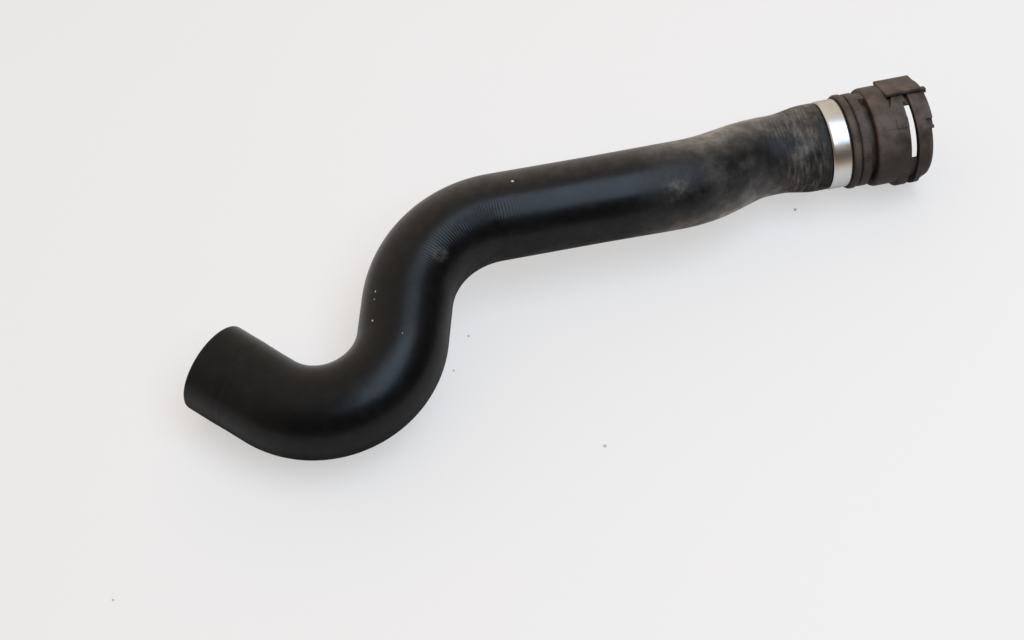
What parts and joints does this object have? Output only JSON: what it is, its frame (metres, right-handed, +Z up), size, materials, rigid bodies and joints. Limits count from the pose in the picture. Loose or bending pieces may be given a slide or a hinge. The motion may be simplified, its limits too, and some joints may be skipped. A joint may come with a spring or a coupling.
{
  "type": "coolant hose",
  "caption": "Moulded rubber coolant hose with a U bend and an elbow, a plain cuff at one end and a crimped plastic quick connector at the other.",
  "frame": {"origin": "middle of the footprint, on the surface that the hose lies on", "axes": "+X along the connector from the hose to its open socket, +Y across from the U bend to the elbow, +Z up as it lies"},
  "size_m": [0.3972, 0.1458, 0.0595],
  "materials": {
    "hose_rubber": "satin black, cured rubber",
    "ring_metal": "polished",
    "connector_plastic": "satin, slightly dusty",
    "seal_rubber": "smooth black"
  },
  "bodies": {
    "root": {"hose": "hose_rubber", "crimp_ring": "ring_metal", "connector_body": "connector_plastic", "socket_seal": "seal_rubber"}
  },
  "joints": []
}
